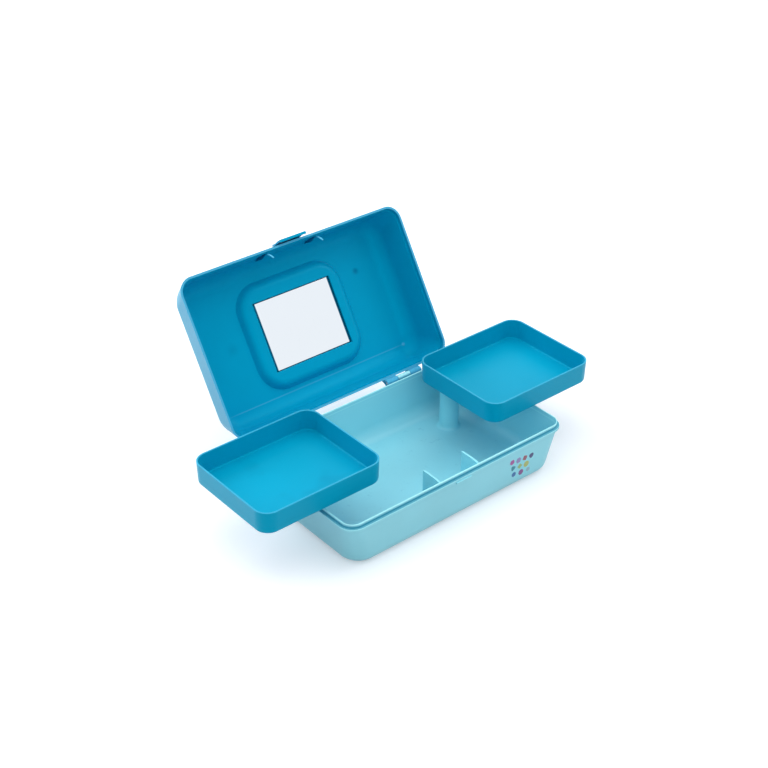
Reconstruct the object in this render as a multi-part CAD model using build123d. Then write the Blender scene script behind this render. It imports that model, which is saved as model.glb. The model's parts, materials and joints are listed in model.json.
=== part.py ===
"""Two-tray makeup case, in millimetres.

X runs along the case, +Y to the hinges and +Z up. The origin is the middle of the base's underside.
The parts are placed as the case stands open: lid up, both trays swung out over the ends.
"""
from build123d import *
from math import cos, sin, tan, radians, degrees, acos
import os

# Case plan, shared by the base's rim and the lid's rim
RIM_LENGTH = 241.0
RIM_WIDTH = 146.8
RIM_CORNER = 14.0

# Base shell
BASE_HEIGHT = 43.6          # underside to the top of the outer rim
BASE_DRAFT = 2.8            # slope of the front and back walls, degrees
BASE_END_DRAFT = 8.5        # slope of the two end walls
BASE_CORNER_GROWTH = 0.22   # the walls' corners grow rounder by this share of the way from the rim
BASE_WALL = 2.2
FLOOR = 2.0
BASE_EDGE = 10.5            # radius of the outer bottom edge
BASE_INNER_EDGE = 12.0      # radius where the inner walls meet the floor
RIM_STANDOUT = 1.6          # rim past the wall below it
RIM_THICKNESS = 2.4
LIP_SETBACK = 2.2           # rim edge to the raised lip's outer face
LIP_HEIGHT = 3.4
LIP_EDGE = 0.35
SOFT_EDGE = 0.5             # radius on moulded rims

# Lid shell
LID_HEIGHT = 38.4
LID_DRAFT = 6.0
LID_END_DRAFT = 12.5
LID_CORNER_GROWTH = 0.28
LID_WALL = 2.7
LID_TOP_WALL = 2.2
LID_EDGE = 17.0
LID_INNER_EDGE = 15.0
LID_GAP = 0.2               # closed lid to the base's rim
LID_OPEN = 122.3            # how far the lid stands open, degrees
REBATE_WALL = 1.9           # lid wall where it passes the base's lip
REBATE_DEPTH = 3.7
RIB_SPACING = 54.0          # the two small ribs inside the lid's front wall
RIB_THICKNESS = 1.4
RIB_REACH = 1.0
RIB_LENGTH = 9.0

# Mirror and the raised pad that frames it
MIRROR_LENGTH = 84.4
MIRROR_WIDTH = 63.5
MIRROR_GLASS = 1.6
MIRROR_FOAM = 0.5
FOAM_INSET = 3.0
MIRROR_SUNK = 1.2
MIRROR_PLAY = 0.5
POCKET_EDGE = 0.6           # radius round the pocket's mouth
BOSS_DEPTH = 29.8           # lid rim to the face of the raised pad
BOSS_MARGIN_X = 11.3        # mirror's edge to the edge of the pad's face
BOSS_MARGIN_Y = 13.7
BOSS_CORNER = 21.0
BOSS_SLOPE = 35.0
BOSS_ROUND = 8.0

# Recess in the lid's top, which holds the folded handle
RECESS_DEPTH = 6.5
RECESS_LENGTH = 101.0
RECESS_WIDTH = 84.6
RECESS_CORNER = 9.5
RECESS_DRAFT = 5.0
ISLAND_DEPTH = 4.0          # the middle of the recess, over the mirror's pocket
ISLAND_WALL = 1.6

# Carry handle
HANDLE_PLAY = 0.4
HANDLE_THICKNESS = 4.4
HANDLE_ARM = 4.2
HANDLE_GRIP = 7.0
HANDLE_CORNER = 10.0
HANDLE_ROUND = 1.2
HANDLE_SUNK = 1.1
HANDLE_PIN_RADIUS = 1.2
HANDLE_PIN_SEAT = 3.6

# Lid hinges
HINGE_BEHIND = 3.8          # rim to the hinge's axis
HINGE_ABOVE = 0.5
HINGE_FROM_END = 58.0       # middle of a hinge to the end of the rim
HINGE_KNUCKLE_RADIUS = 3.0
HINGE_PIN_RADIUS = 1.25
BASE_KNUCKLE = 14.0
LID_KNUCKLE = 12.4
KNUCKLE_GAP = 0.5
HEEL_RADIUS = 4.3           # stops the open lid against the rim's back face
HEEL_SPREAD = 40.0
STOP_GAP = 0.15
RUNNING_FIT = 0.05

# Latch
LATCH_WIDTH = 28.0
LATCH_THICKNESS = 1.3
LATCH_PIVOT_HEIGHT = 9.5    # lid rim to the latch's pin
LATCH_PIVOT_OUT = 0.7       # rim edge to the latch's pin
LATCH_FLARE = 1.2           # how far the flap steps out on its way down
LATCH_REACH = 5.0           # past the lid's rim
LATCH_AJAR = 3.6            # how far the free latch stands off, degrees
LATCH_EAR = 3.4
LATCH_KNUCKLE_RADIUS = 1.4
LATCH_PIN_RADIUS = 0.7
LATCH_HOOK = 0.8
LATCH_HOOK_THICKNESS = 1.1
LATCH_LIP = 0.3
CATCH_WIDTH = 16.4
CATCH_HEIGHT = 1.4
CATCH_STANDOUT = 1.0
PLAY = 0.3

# Trays, each measured as it stands swung out
TRAY_HEIGHT = 20.7
TRAY_CORNER = 13.0
TRAY_WALL = 1.5
TRAY_FLOOR = 1.6
TRAY_DRAFT = 1.8
TRAY_EDGE = 2.5
TRAY_INNER_EDGE = 1.6
TRAY_TOP = 72.9             # the base's underside to the tray's rim
TRAY_MID_GAP = 2.1          # closed tray to the case's middle
TRAY_BACK_GAP = 12.1        # closed tray to the line of the back rim
TRAY_FRONT_GAP = 13.6       # closed tray to the line of the front rim
TRAY_END_GAP = 16.8         # closed tray to the line of the end rim
PIVOT_FROM_SIDE = 24.1      # pivot to the tray's inner side
PIVOT_FROM_BACK = 19.7      # pivot to the tray's back
BOSS_RADIUS = 8.0
BOSS_HEIGHT = 5.5
TRAY_PIN_RADIUS = 3.0
TRAY_PIN_SEAT = 4.0
TRAY_PIN_LENGTH = 19.0
WASHER = 1.0

# Posts and divider fins in the base
POST_RADIUS = 8.8
POST_FOOT = 3.0
FIN_SPACING = 43.0
FIN_THICKNESS = 1.8
FIN_LENGTH = 22.0           # from the inner face of the front wall
FIN_BELOW_LIP = 1.0
FIN_DROP = 1.6

# Places that follow from the sizes
LID_RIM_Z = BASE_HEIGHT + LID_GAP
LIP_TOP = BASE_HEIGHT + LIP_HEIGHT
LID_TOP = LID_RIM_Z + LID_HEIGHT
HINGE_Y = RIM_WIDTH / 2 + HINGE_BEHIND
HINGE_Z = BASE_HEIGHT + HINGE_ABOVE
HINGE_X = RIM_LENGTH / 2 - HINGE_FROM_END
INNER_SETBACK = RIM_STANDOUT + BASE_WALL
TRAY_LENGTH = RIM_WIDTH - TRAY_BACK_GAP - TRAY_FRONT_GAP
TRAY_WIDTH = RIM_LENGTH / 2 - TRAY_MID_GAP - TRAY_END_GAP
POST_X = TRAY_MID_GAP + TRAY_WIDTH - PIVOT_FROM_BACK
POST_Y = RIM_WIDTH / 2 - TRAY_BACK_GAP - PIVOT_FROM_SIDE
TRAY_X = POST_X - PIVOT_FROM_SIDE + TRAY_LENGTH / 2
TRAY_Y = POST_Y + PIVOT_FROM_BACK - TRAY_WIDTH / 2
TRAY_BOTTOM = TRAY_TOP - TRAY_HEIGHT
POST_TOP = TRAY_BOTTOM - BOSS_HEIGHT - WASHER - PLAY
TRAY_PIN_TOP = TRAY_BOTTOM - BOSS_HEIGHT + TRAY_PIN_SEAT
HANDLE_Z = LID_TOP - HANDLE_SUNK - HANDLE_THICKNESS / 2
HANDLE_HANG = LID_OPEN - 90.0       # angle at which the handle hangs on the open lid
LATCH_Y = -(RIM_WIDTH / 2 + LATCH_PIVOT_OUT)
LATCH_Z = LID_RIM_Z + LATCH_PIVOT_HEIGHT
BOSS_LENGTH = MIRROR_LENGTH + 2 * BOSS_MARGIN_X
BOSS_WIDTH = MIRROR_WIDTH + 2 * BOSS_MARGIN_Y
POCKET_DEPTH = MIRROR_SUNK + MIRROR_GLASS + MIRROR_FOAM
POCKET_Z = LID_RIM_Z + BOSS_DEPTH + POCKET_DEPTH
HINGE_AXIS = Axis((0, HINGE_Y, HINGE_Z), (1, 0, 0))
LATCH_AXIS = Axis((0, LATCH_Y, LATCH_Z), (1, 0, 0))
HANDLE_AXIS = Axis((0, 0, HANDLE_Z), (1, 0, 0))


def block(length, width, corner, low, high, draft=0.0):
    """Rounded rectangular block; a positive draft makes it wider upwards."""
    plan = Plane.XY.offset(low) * RectangleRounded(length, width, corner)
    return extrude(plan, amount=high - low, taper=-draft)


def slab(points, x_low, x_high):
    """Prism along X over a closed outline of (y, z) points."""
    outline = Plane.YZ.offset(x_low) * make_face(Polyline(*points, close=True))
    return extrude(outline, amount=x_high - x_low)


def rod(radius, y, z, x_low, x_high):
    """Round bar along X."""
    return extrude(Plane.YZ.offset(x_low) * Pos(y, z) * Circle(radius), amount=x_high - x_low)


def post_bar(radius, x, y, low, high):
    """Round bar along Z."""
    return extrude(Plane.XY.offset(low) * Pos(x, y) * Circle(radius), amount=high - low)


def edges_at(solid, z):
    """Every edge that lies flat at one height."""
    return [e for e in solid.edges() if all(abs(v.Z - z) < 1e-4 for v in e.vertices())]


def opened(closed_part):
    """A piece of the closed lid, swung to where the lid stands open."""
    return closed_part.rotate(HINGE_AXIS, -LID_OPEN)


def both_sides(make):
    """A piece on the right and its mirror image on the left."""
    right = make()
    return {"right": right, "left": mirror(right, about=Plane.YZ)}


def tapered(setback, low, high, rim_z, end_draft, side_draft, growth):
    """Block between two heights that draws in away from the rim's plane, with rounder corners there."""
    plans = []
    for z in (low, high):
        away = z - rim_z
        length = RIM_LENGTH - 2 * (setback + away * tan(radians(end_draft)))
        width = RIM_WIDTH - 2 * (setback + away * tan(radians(side_draft)))
        corner = RIM_CORNER - setback + away * growth
        plans.append(Plane.XY.offset(z) * RectangleRounded(length, width, corner))
    return loft(plans, ruled=True)


def base_block(setback, low, high):
    """Block that narrows downwards with the base's walls, measured at its rim."""
    return tapered(setback, low, high, BASE_HEIGHT, -BASE_END_DRAFT, -BASE_DRAFT, -BASE_CORNER_GROWTH)


def base_cavity():
    """The space inside the base: drafted walls and a large radius at the floor."""
    space = base_block(INNER_SETBACK, FLOOR, LIP_TOP + PLAY)
    return fillet(edges_at(space, FLOOR), BASE_INNER_EDGE)


def base_body():
    """The base's outer form, solid, without rim or lip."""
    return fillet(edges_at(base_block(RIM_STANDOUT, 0, BASE_HEIGHT), 0), BASE_EDGE)


def rim_plate():
    """The rim that stands out around the base."""
    plate = block(RIM_LENGTH, RIM_WIDTH, RIM_CORNER, BASE_HEIGHT - RIM_THICKNESS, BASE_HEIGHT)
    return fillet(plate.edges().filter_by(Plane.XY), SOFT_EDGE)


def lip_ring(space):
    """The raised lip that the lid closes over."""
    ring = block(RIM_LENGTH - 2 * LIP_SETBACK, RIM_WIDTH - 2 * LIP_SETBACK,
                 RIM_CORNER - LIP_SETBACK, BASE_HEIGHT - RIM_THICKNESS / 2, LIP_TOP) - space
    return fillet(edges_at(ring, LIP_TOP), LIP_EDGE)


def base_knuckle():
    """The base's hinge knuckle on its gusset."""
    low, high = HINGE_X - BASE_KNUCKLE / 2, HINGE_X + BASE_KNUCKLE / 2
    wall_y = RIM_WIDTH / 2 - RIM_STANDOUT - BASE_WALL / 4
    under = HINGE_Z - HINGE_KNUCKLE_RADIUS
    web = slab([(wall_y, BASE_HEIGHT), (HINGE_Y, BASE_HEIGHT), (HINGE_Y, under),
                (wall_y + HINGE_BEHIND / 2, under - RIM_THICKNESS),
                (wall_y, under - 2 * RIM_THICKNESS)], low, high)
    knuckle = web + rod(HINGE_KNUCKLE_RADIUS, HINGE_Y, HINGE_Z, low, high)
    return knuckle - rod(HINGE_PIN_RADIUS, HINGE_Y, HINGE_Z, low, high)


def catch():
    """The small ledge under the front rim that the latch hooks."""
    top = BASE_HEIGHT - RIM_THICKNESS + SOFT_EDGE
    front = -(RIM_WIDTH / 2 + CATCH_STANDOUT)
    root = -(RIM_WIDTH / 2 - INNER_SETBACK + BASE_WALL / 2)
    ledge = Pos(0, (front + root) / 2, top - CATCH_HEIGHT / 2) * Box(CATCH_WIDTH, root - front, CATCH_HEIGHT)
    return fillet(ledge.edges().filter_by(Axis.X).group_by(Axis.Y)[0], SOFT_EDGE)


def base_shell():
    """Base with its rim, lip, hinge knuckles and catch, in one moulding."""
    space = base_cavity()
    shell = base_body() + rim_plate() - space
    shell += lip_ring(space)
    for knuckle in both_sides(base_knuckle).values():
        shell += knuckle
    return shell + catch()


def post():
    """Right-hand post: round, with a flared foot and a blind bore for the tray's pin."""
    profile = Polyline((0, FLOOR), (POST_RADIUS + POST_FOOT, FLOOR)) \
        + RadiusArc((POST_RADIUS + POST_FOOT, FLOOR), (POST_RADIUS, FLOOR + POST_FOOT), POST_FOOT) \
        + Polyline((POST_RADIUS, FLOOR + POST_FOOT), (POST_RADIUS, POST_TOP), (0, POST_TOP), (0, FLOOR))
    turned = revolve(Plane.XZ * make_face(profile), Axis.Z)
    bore_low = TRAY_PIN_TOP - TRAY_PIN_LENGTH - PLAY
    bore = post_bar(TRAY_PIN_RADIUS + RUNNING_FIT, 0, 0, bore_low, POST_TOP)
    return Pos(POST_X, POST_Y, 0) * (turned - bore)


def washer():
    """Thin ring between the post and the tray's boss."""
    ring = post_bar(BOSS_RADIUS - PLAY, POST_X, POST_Y, POST_TOP, POST_TOP + WASHER)
    return ring - post_bar(TRAY_PIN_RADIUS + PLAY, POST_X, POST_Y, POST_TOP, POST_TOP + WASHER)


def tray_pin():
    """Pin pressed into the tray's boss, turning in the post."""
    return post_bar(TRAY_PIN_RADIUS, POST_X, POST_Y, TRAY_PIN_TOP - TRAY_PIN_LENGTH, TRAY_PIN_TOP)


def tray():
    """Right-hand tray: open rounded box, with a round boss under its floor."""
    spread = 2 * TRAY_HEIGHT * tan(radians(TRAY_DRAFT))
    body = block(TRAY_LENGTH - spread, TRAY_WIDTH - spread, TRAY_CORNER - spread / 2,
                 TRAY_BOTTOM, TRAY_TOP, TRAY_DRAFT)
    body = fillet(edges_at(body, TRAY_BOTTOM), TRAY_EDGE)
    inner = TRAY_BOTTOM + TRAY_FLOOR
    narrow = 2 * ((TRAY_TOP - inner) * tan(radians(TRAY_DRAFT)) + TRAY_WALL)
    space = block(TRAY_LENGTH - narrow, TRAY_WIDTH - narrow, TRAY_CORNER - narrow / 2,
                  inner, TRAY_TOP, TRAY_DRAFT)
    space = fillet(edges_at(space, inner), TRAY_INNER_EDGE)
    open_box = body - space
    open_box = fillet(edges_at(open_box, TRAY_TOP), SOFT_EDGE)
    placed = Pos(TRAY_X, TRAY_Y) * open_box
    boss = post_bar(BOSS_RADIUS, POST_X, POST_Y, TRAY_BOTTOM - BOSS_HEIGHT, TRAY_BOTTOM + TRAY_FLOOR / 2)
    seat = post_bar(TRAY_PIN_RADIUS, POST_X, POST_Y, TRAY_BOTTOM - BOSS_HEIGHT, TRAY_PIN_TOP)
    return placed + boss - seat


def divider():
    """Right-hand fin that stands across the base's front wall."""
    front = -RIM_WIDTH / 2
    wall = front + INNER_SETBACK
    back = wall + FIN_LENGTH
    top = LIP_TOP - FIN_BELOW_LIP
    x_low = (FIN_SPACING - FIN_THICKNESS) / 2
    plate = slab([(front, FLOOR), (back, FLOOR), (back, top), (wall + FIN_LENGTH / 2, top),
                  (wall + FIN_LENGTH / 4, top - FIN_DROP / 3), (wall, top - FIN_DROP),
                  (front, top - FIN_DROP)], x_low, x_low + FIN_THICKNESS)
    return plate & base_cavity()


def hinge_pin():
    """Right-hand pin through the base's knuckle and the lid's two."""
    half = BASE_KNUCKLE / 2 + KNUCKLE_GAP + LID_KNUCKLE - PLAY
    return rod(HINGE_PIN_RADIUS, HINGE_Y, HINGE_Z, HINGE_X - half, HINGE_X + half)


def lid_inset(depth):
    """How far the lid's front face has drawn in at a depth from its rim."""
    return depth * tan(radians(LID_DRAFT))


def lid_block(setback, low, high):
    """Block that narrows upwards with the lid's walls, measured at its rim."""
    return tapered(setback, low, high, LID_RIM_Z, LID_END_DRAFT, LID_DRAFT, LID_CORNER_GROWTH)


def lid_cavity():
    """The space inside the lid, with the wider rebate at its rim."""
    panel = LID_TOP - LID_TOP_WALL
    space = lid_block(LID_WALL, LID_RIM_Z, panel)
    space = fillet(edges_at(space, panel), LID_INNER_EDGE)
    return space + block(RIM_LENGTH - 2 * REBATE_WALL, RIM_WIDTH - 2 * REBATE_WALL,
                         RIM_CORNER - REBATE_WALL, LID_RIM_Z, LID_RIM_Z + REBATE_DEPTH)


def mirror_boss():
    """The raised pad on the lid's inner face, with the mirror's pocket in it."""
    low = LID_RIM_Z + BOSS_DEPTH
    pad = block(BOSS_LENGTH, BOSS_WIDTH, BOSS_CORNER, low, LID_TOP - LID_TOP_WALL / 2, BOSS_SLOPE)
    pad = fillet(edges_at(pad, low), BOSS_ROUND) - mirror_pocket()
    mouth = [e for e in edges_at(pad, low) if e.geom_type == GeomType.LINE
             and abs(e.center().X) < MIRROR_LENGTH / 2 + MIRROR_PLAY + PLAY
             and abs(e.center().Y) < MIRROR_WIDTH / 2 + MIRROR_PLAY + PLAY]
    return fillet(mouth, POCKET_EDGE)


def mirror_pocket():
    """The shallow pocket that the mirror lies in."""
    low = LID_RIM_Z + BOSS_DEPTH
    return Pos(0, 0, low + POCKET_DEPTH / 2) * Box(
        MIRROR_LENGTH + 2 * MIRROR_PLAY, MIRROR_WIDTH + 2 * MIRROR_PLAY, POCKET_DEPTH)


def top_recess():
    """The recess in the lid's top, deep round its edge and shallow over the mirror's pocket."""
    recess = block(RECESS_LENGTH, RECESS_WIDTH, RECESS_CORNER, LID_TOP - RECESS_DEPTH,
                   LID_TOP + PLAY, RECESS_DRAFT)
    length = MIRROR_LENGTH + 2 * (MIRROR_PLAY + ISLAND_WALL)
    width = MIRROR_WIDTH + 2 * (MIRROR_PLAY + ISLAND_WALL)
    return recess - block(length, width, ISLAND_WALL + PLAY, LID_TOP - RECESS_DEPTH, LID_TOP - ISLAND_DEPTH)


def lid_knuckle(x_low):
    """One of the lid's knuckles, with the heel that stops the open lid."""
    x_high = x_low + LID_KNUCKLE
    wall_y = RIM_WIDTH / 2 - LID_WALL / 2
    rise = 2 * HINGE_KNUCKLE_RADIUS
    arm = slab([(wall_y, LID_RIM_Z), (HINGE_Y, LID_RIM_Z), (HINGE_Y, HINGE_Z + HINGE_KNUCKLE_RADIUS),
                (RIM_WIDTH / 2 + HINGE_BEHIND / 3, LID_RIM_Z + rise * 0.9),
                (wall_y, LID_RIM_Z + rise * 1.3)], x_low, x_high)
    touch = degrees(acos((HINGE_BEHIND - STOP_GAP) / HEEL_RADIUS))
    first = LID_OPEN - 180 + touch
    turns = [first + HEEL_SPREAD * k / 4 for k in range(5)]
    heel = slab([(HINGE_Y, HINGE_Z)] + [
        (HINGE_Y + HEEL_RADIUS * cos(radians(a)), HINGE_Z + HEEL_RADIUS * sin(radians(a)))
        for a in turns], x_low, x_high)
    knuckle = arm + rod(HINGE_KNUCKLE_RADIUS, HINGE_Y, HINGE_Z, x_low, x_high) + heel
    return knuckle - rod(HINGE_PIN_RADIUS + RUNNING_FIT, HINGE_Y, HINGE_Z, x_low, x_high)


def lid_hinge_half():
    """The lid's two right-hand knuckles."""
    inner = HINGE_X - BASE_KNUCKLE / 2 - KNUCKLE_GAP - LID_KNUCKLE
    outer = HINGE_X + BASE_KNUCKLE / 2 + KNUCKLE_GAP
    return lid_knuckle(inner) + lid_knuckle(outer)


def latch_ear():
    """Right-hand ear that holds the latch's pin."""
    high = LATCH_WIDTH / 2
    low = high - LATCH_EAR
    wall = -(RIM_WIDTH / 2 - lid_inset(LATCH_PIVOT_HEIGHT) - LID_WALL / 2)
    radius = LATCH_KNUCKLE_RADIUS
    arm = slab([(wall, LATCH_Z - radius), (LATCH_Y, LATCH_Z - radius), (LATCH_Y, LATCH_Z + radius),
                (wall, LATCH_Z + 2.5 * radius)], low, high)
    ear = arm + rod(radius, LATCH_Y, LATCH_Z, low, high)
    return ear - rod(LATCH_PIN_RADIUS, LATCH_Y, LATCH_Z, low, high)


def front_rib():
    """Right-hand small rib inside the lid's front wall."""
    low = (RIB_SPACING - RIB_THICKNESS) / 2
    wall = -(RIM_WIDTH / 2 - LID_WALL / 2)
    face = -(RIM_WIDTH / 2 - LID_WALL - RIB_REACH - lid_inset(REBATE_DEPTH))
    bottom = LID_RIM_Z + REBATE_DEPTH
    return slab([(wall, bottom), (face, bottom), (face, bottom + RIB_LENGTH / 3),
                 (wall, bottom + RIB_LENGTH)], low, low + RIB_THICKNESS)


def handle_pin_seat():
    """Right-hand bore in the recess's end wall, which holds the handle's pin."""
    inner = RECESS_LENGTH / 2 - RECESS_DEPTH
    return rod(HANDLE_PIN_RADIUS, 0, HANDLE_Z, inner, RECESS_LENGTH / 2 + HANDLE_PIN_SEAT)


def lid_closed():
    """The lid as one moulding, as it lies on the base when closed."""
    outer = lid_block(0, LID_RIM_Z, LID_TOP)
    outer = fillet(edges_at(outer, LID_TOP), LID_EDGE)
    shell = outer - lid_cavity()
    shell = shell + (mirror_boss() & outer) - top_recess()
    for make in (lid_hinge_half, latch_ear, front_rib):
        for piece in both_sides(make).values():
            shell += piece
    for bore in both_sides(handle_pin_seat).values():
        shell -= bore
    return shell


def mirror_glass_closed():
    """Plain mirror plate."""
    top = POCKET_Z - MIRROR_FOAM
    return Pos(0, 0, top - MIRROR_GLASS / 2) * Box(MIRROR_LENGTH, MIRROR_WIDTH, MIRROR_GLASS)


def mirror_foam_closed():
    """Adhesive foam between the mirror and the lid."""
    length, width = MIRROR_LENGTH - 2 * FOAM_INSET, MIRROR_WIDTH - 2 * FOAM_INSET
    return Pos(0, 0, POCKET_Z - MIRROR_FOAM / 2) * Box(length, width, MIRROR_FOAM)


def latch_hooked():
    """Latch as it holds the closed case: a flap that flares out downwards, with a hook and a finger lip."""
    inner = LATCH_Y + LATCH_THICKNESS / 2
    outer = inner - LATCH_THICKNESS
    bottom = LID_RIM_Z - LATCH_REACH
    shoulder = LATCH_Z - LATCH_KNUCKLE_RADIUS - PLAY
    face = inner - LATCH_FLARE
    front = outer - LATCH_FLARE
    flap = slab([(inner, shoulder), (face, LID_RIM_Z), (face, bottom + LATCH_HOOK_THICKNESS),
                 (face + LATCH_HOOK, bottom + LATCH_HOOK_THICKNESS), (face + LATCH_HOOK, bottom + SOFT_EDGE),
                 (face + LATCH_HOOK / 2, bottom), (front - LATCH_LIP, bottom),
                 (front - LATCH_LIP, bottom + LATCH_HOOK_THICKNESS), (front, LID_RIM_Z),
                 (outer, shoulder)], -LATCH_WIDTH / 2, LATCH_WIDTH / 2)
    half = LATCH_WIDTH / 2 - LATCH_EAR - PLAY
    neck = slab([(inner, LATCH_Z), (inner, shoulder - PLAY), (outer, shoulder - PLAY), (outer, LATCH_Z)],
                -half, half)
    knuckle = rod(LATCH_KNUCKLE_RADIUS, LATCH_Y, LATCH_Z, -half, half)
    return flap + neck + knuckle - rod(LATCH_PIN_RADIUS + RUNNING_FIT, LATCH_Y, LATCH_Z, -half, half)


def latch_pin_closed():
    """Pin through the latch and its two ears."""
    return rod(LATCH_PIN_RADIUS, LATCH_Y, LATCH_Z, -LATCH_WIDTH / 2, LATCH_WIDTH / 2)


def handle_folded():
    """Carry handle: a flat bail, folded back into the recess."""
    half = RECESS_LENGTH / 2 - HANDLE_PLAY
    back = RECESS_WIDTH / 2 - HANDLE_PLAY
    low = HANDLE_Z - HANDLE_THICKNESS / 2
    inner_corner = HANDLE_CORNER - HANDLE_ARM
    outline = RectangleRounded(2 * half, 2 * back, HANDLE_CORNER) \
        - RectangleRounded(2 * (half - HANDLE_ARM), 2 * (back - HANDLE_GRIP), inner_corner)
    outline = outline & Pos(0, back / 2, 0) * Rectangle(2 * half, back)
    bail = extrude(Plane.XY.offset(low) * outline, amount=HANDLE_THICKNESS)
    long_edges = [e for e in edges_at(bail, low) + edges_at(bail, low + HANDLE_THICKNESS)
                  if e.center().Y > HANDLE_ROUND / 2]
    bail = fillet(long_edges, HANDLE_ROUND)
    for side in (-1, 1):
        ends = sorted((side * half, side * (half - HANDLE_ARM)))
        bail += rod(HANDLE_THICKNESS / 2, 0, HANDLE_Z, *ends)
        bail -= rod(HANDLE_PIN_RADIUS + RUNNING_FIT, 0, HANDLE_Z, *ends)
    return bail


def handle_pin_closed():
    """Right-hand pin of the carry handle."""
    inner = RECESS_LENGTH / 2 - HANDLE_PLAY - HANDLE_ARM
    return rod(HANDLE_PIN_RADIUS, 0, HANDLE_Z, inner, RECESS_LENGTH / 2 + HANDLE_PIN_SEAT)


def build():
    """Every sub-part by its node's name, in its place."""
    parts = {"base_shell": base_shell(), "lid_shell": opened(lid_closed())}
    for side, piece in both_sides(post).items():
        parts[side + "_post"] = piece
    for side, piece in both_sides(washer).items():
        parts[side + "_post_washer"] = piece
    for side, piece in both_sides(divider).items():
        parts[side + "_divider"] = piece
    for side, piece in both_sides(hinge_pin).items():
        parts[side + "_hinge_pin"] = piece
    for side, piece in both_sides(tray).items():
        parts[side + "_tray"] = piece
    for side, piece in both_sides(tray_pin).items():
        parts[side + "_tray_pin"] = piece
    for side, piece in both_sides(handle_pin_closed).items():
        parts[side + "_handle_pin"] = opened(piece)
    parts["mirror_glass"] = opened(mirror_glass_closed())
    parts["mirror_foam"] = opened(mirror_foam_closed())
    parts["latch_pin"] = opened(latch_pin_closed())
    parts["latch"] = opened(latch_hooked().rotate(LATCH_AXIS, -LATCH_AJAR))
    parts["carry_handle"] = opened(handle_folded().rotate(HANDLE_AXIS, HANDLE_HANG))
    return parts


os.makedirs("parts", exist_ok=True)
for name, solid in build().items():
    export_step(solid, f"parts/{name}.step")
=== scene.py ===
"""Makeup case: the looks of its pieces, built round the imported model."""

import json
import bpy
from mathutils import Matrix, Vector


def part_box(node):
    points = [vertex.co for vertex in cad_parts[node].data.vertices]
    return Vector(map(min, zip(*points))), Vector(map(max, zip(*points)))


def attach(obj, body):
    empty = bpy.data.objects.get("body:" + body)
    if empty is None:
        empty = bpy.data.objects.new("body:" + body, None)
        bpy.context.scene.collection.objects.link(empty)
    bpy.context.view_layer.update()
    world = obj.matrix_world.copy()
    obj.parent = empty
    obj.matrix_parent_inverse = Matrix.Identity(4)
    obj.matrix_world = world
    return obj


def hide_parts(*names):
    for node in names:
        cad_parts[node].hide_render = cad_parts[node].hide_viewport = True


bl_info = {
    "name": "Makeup Case",
    "version": (1, 0, 0),
    "blender": (4, 5, 0),
    "location": "3D View > Sidebar > Makeup Case",
    "description": "Builds and finishes the pieces of a moulded makeup case with swing-out trays",
    "category": "Add Mesh",
}

from math import cos, pi, radians, sin, tan

import bpy
import numpy as np
from bpy.props import FloatProperty, FloatVectorProperty, PointerProperty
from mathutils import Matrix, Vector

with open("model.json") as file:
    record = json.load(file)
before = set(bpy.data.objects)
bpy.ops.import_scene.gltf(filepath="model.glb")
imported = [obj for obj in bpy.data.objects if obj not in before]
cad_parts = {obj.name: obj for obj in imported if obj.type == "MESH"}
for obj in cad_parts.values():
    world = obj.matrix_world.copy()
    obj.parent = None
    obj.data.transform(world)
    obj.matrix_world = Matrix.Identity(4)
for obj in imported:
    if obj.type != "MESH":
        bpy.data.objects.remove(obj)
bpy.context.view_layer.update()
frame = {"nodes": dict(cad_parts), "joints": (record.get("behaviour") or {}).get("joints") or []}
NODES = frame["nodes"]
JOINTS = {joint["name"]: joint for joint in frame["joints"]}
HINGE = np.array(JOINTS["lid_hinge"]["pos_m"])
LID_OPEN = radians(JOINTS["lid_hinge"]["range_deg"][1])

# Places on the closed case that the materials and new pieces follow, in metres
LIP_HALF_WIDTH = 0.0712      # outer face of the base's raised lip, in plan
LIP_HALF_LENGTH = 0.1183
LIP_CORNER = 0.0118
LIP_TOP = 0.0470
BASE_RIM = 0.0436
LID_RIM = 0.0438
TRAY_TOP = 0.0729
PANEL = 0.080                # inner face of the lid's panel
GATE = (0.0764, -0.0268)     # moulding marks inside the lid, in plan
SMUDGE = (-0.0737, -0.0007)
# Ejector's mark, where a highlight spot is painted too; a painted highlight line runs along the lid
# through it.
EJECTOR_AND_HIGHLIGHT = (0.0990, 0.0537)
FRONT_WALL = 0.0718          # outer face of the base's front wall at the rim
WALL_LEAN = radians(2.8)
MIRROR_CORNER = 0.0012

PLASTIC_IOR = 1.49
SATIN_DEPTH = 0.00005        # relief of the mouldings' fine texture
PIN_SIDES = 32
BACKDROP = (0.96, 0.98, 1.0, 1.0)
PALE_GLOSS = (0.95, 0.98, 1.0, 1.0)
WHITE = (1.0, 1.0, 1.0, 1.0)
# Dark blue painted as the shade of the mirror's pocket along the plate's edges.
POCKET_SHADE_BLUE = (0.0, 0.09, 0.17, 1.0)
FLOOR_HALF = 4.0
TARGET = Vector((-0.0249, 0.0, 0.1086))


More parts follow.
